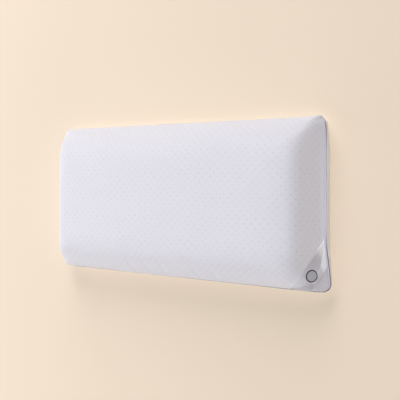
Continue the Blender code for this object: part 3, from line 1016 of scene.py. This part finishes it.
def makeBadge(surface):
    deselectAll()
    bpy.ops.mesh.primitive_cylinder_add(
        vertices=badge["sides"], radius=badge["radius"], depth=badge["thickness"], end_fill_type="NGON"
    )
    piece = added("badge_disc")
    bpy.ops.object.mode_set(mode="EDIT")
    bpy.ops.mesh.select_mode(type="FACE")
    for facing in (1, -1):
        bpy.ops.object.mode_set(mode="OBJECT")
        for face in piece.data.polygons:
            face.select = face.normal.z * facing > 0.5
        bpy.ops.object.mode_set(mode="EDIT")
        for step in range(6 if facing > 0 else 1):
            bpy.ops.mesh.inset(thickness=badge["rimWidth"] / 6)
        for step in range(7):
            bpy.ops.mesh.inset(thickness=(badge["radius"] - badge["rimWidth"]) / 8)
        bpy.ops.mesh.poke()
    bpy.ops.object.mode_set(mode="OBJECT")
    flat = placesOf(piece)
    fromCentre = np.hypot(flat[:, 0], flat[:, 1])
    turn = np.arctan2(flat[:, 1], flat[:, 0])
    rim = np.clip((badge["radius"] - fromCentre) / badge["rimWidth"], 0, 1)
    swell = np.sin(math.pi * rim) ** 0.8
    stitch = badge["stitchHeight"] * np.sin(badge["stitches"] * turn + 6 * rim) * swell
    flat[:, 2] += np.where(flat[:, 2] > 0, badge["rimHeight"] * swell + stitch - 0.25 * mm, 0.0)
    shareU = 1 - badge["fromEnd"] / form["halfLength"]
    shareV = badge["fromLong"] / form["halfWidth"] - 1
    centreU, centreV = np.array([shareU]), np.array([shareV])
    normal = faceNormals(centreU, centreV)[0]
    step = 0.002
    alongU = (facePoints(centreU + step, centreV) - facePoints(centreU - step, centreV))[0] / (2 * step)
    alongV = (facePoints(centreU, centreV + step) - facePoints(centreU, centreV - step))[0] / (2 * step)
    right = alongU / np.linalg.norm(alongU)
    up = np.cross(normal, right)
    toShare = np.linalg.pinv(np.array([alongU, alongV]).T)
    shift = (flat[:, :1] * right + flat[:, 1:2] * up) @ toShare.T
    u, v = shareU + shift[:, 0], shareV + shift[:, 1]
    lift = badge["lift"] + badge["thickness"] / 2 + flat[:, 2]
    place(piece, laidOn(surface, facePoints(u, v), faceNormals(u, v), lift))
    keep(piece, "rim", (rim < 0.999).astype(float))
    keep(piece, "stitch", 0.5 + 0.5 * np.sin(badge["stitches"] * turn + 6 * rim))
    faceOutwards(piece)
    return piece


badgePiece = makeBadge(surfaceOf(ribbonPiece))
felt = Finish("badge_felt")
rimMask = felt.kept("rim")
fibres = felt.noise(felt.place(), 500.0, 3.0, 0.7)
# Painted shade: the rim's thread is darker between the stitches and lighter on them
thread = felt.mix(felt.kept("stitch"), (0.035, 0.028, 0.045), (0.085, 0.072, 0.10))
centre = felt.mix(fibres, (0.40, 0.39, 0.43), (0.54, 0.53, 0.57))
felt.give(Base_Color=felt.mix(rimMask, centre, thread), Roughness=0.75, Sheen_Weight=0.2)
felt.bump(fibres, 0.12 * mm)
wear(badgePiece, felt)
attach(badgePiece, "root")
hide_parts("badge")
report("ribbon and badge")

# The floor, lights and camera

studio = {
    "floorColour": (0.80, 0.68, 0.55),
    "floorSide": 12.0,
    "worldColour": (1.0, 1.0, 1.0),
    "worldStrength": 0.10,
    "lightColour": (1.0, 1.0, 1.0),
    "lightSize": 1.6,
    # Each light's name, place and power, and whether it casts a shadow: the fills don't
    "lights": (
        ("top_softbox", (-0.2, 2.3, 1.2), 42, True),
        ("left_fill", (-2.2, 0.4, 1.3), 31, False),
        ("lower_left_fill", (-1.7, -1.3, 1.4), 22, False),
        ("lower_fill", (0.2, -1.9, 1.5), 18, False),
        ("right_fill", (2.0, 0.0, 1.5), 17, False),
    ),
}

deselectAll()
bpy.ops.mesh.primitive_plane_add(size=studio["floorSide"], location=(0, 0, 0))
floor = added("studio_floor")
floorFinish = Finish("floor_paper")
tone = floorFinish.noise(floorFinish.place(), 2.0, 2.0)
floorColour = studio["floorColour"]
floorFinish.give(Base_Color=floorFinish.mix(tone * 0.3, floorColour, tuple(0.97 * part for part in floorColour)))
floorFinish.give(Roughness=0.95, Specular_IOR_Level=0.1)
wear(floor, floorFinish)
floor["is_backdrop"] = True


def addLight(name, spot, power, cast):
    deselectAll()
    bpy.ops.object.light_add(type="AREA", location=spot)
    light = bpy.context.object
    light.name = name
    light.data.shape = "SQUARE"
    light.data.size = studio["lightSize"]
    light.data.energy = power
    light.data.color = studio["lightColour"]
    light.data.use_shadow = cast
    light.rotation_euler = (-Vector(spot)).to_track_quat("-Z", "Y").to_euler()


for name, spot, power, cast in studio["lights"]:
    addLight(name, spot, power, cast)
world = bpy.data.worlds.new("studio")
world.use_nodes = True
world.node_tree.nodes["Background"].inputs[0].default_value = (*studio["worldColour"], 1.0)
world.node_tree.nodes["Background"].inputs[1].default_value = studio["worldStrength"]
bpy.context.scene.world = world
bpy.context.scene.view_settings.view_transform = "Standard"

# The photograph's frame is 400 pixels square; the lens axis meets it a little above the middle
view = {
    "side": 400,
    "focal": 564.73,
    "axisRow": 176,
    "yaw": 0.52939,
    "pitch": -0.00887,
    "roll": 0.00744,
    "distance": 1.13213,
    "slideX": 0.03149,
    "slideY": 0.04724,
}


def addCamera():
    yaw, pitch, roll = view["yaw"], view["pitch"], view["roll"]
    back = Vector((math.sin(yaw) * math.cos(pitch), math.sin(pitch), math.cos(yaw) * math.cos(pitch)))
    right = Vector((0, 1, 0)).cross(back).normalized()
    up = back.cross(right)
    turnedRight = math.cos(roll) * right + math.sin(roll) * up
    turnedUp = -math.sin(roll) * right + math.cos(roll) * up
    spot = turnedRight * view["slideX"] + turnedUp * view["slideY"] + back * view["distance"]
    axes = Matrix((turnedRight, turnedUp, back)).transposed().to_4x4()
    deselectAll()
    bpy.ops.object.camera_add()
    camera = bpy.context.object
    camera.name = "photo_camera"
    camera.matrix_world = Matrix.Translation(spot) @ axes
    camera.data.sensor_width = 36
    camera.data.lens = 36 * view["focal"] / view["side"]
    camera.data.shift_y = (view["axisRow"] - view["side"] / 2) / view["side"]
    camera.data.clip_start = 0.01
    bpy.context.scene.camera = camera


addCamera()
low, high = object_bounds()
report(f"size {[round(value, 4) for value in high - low]}")
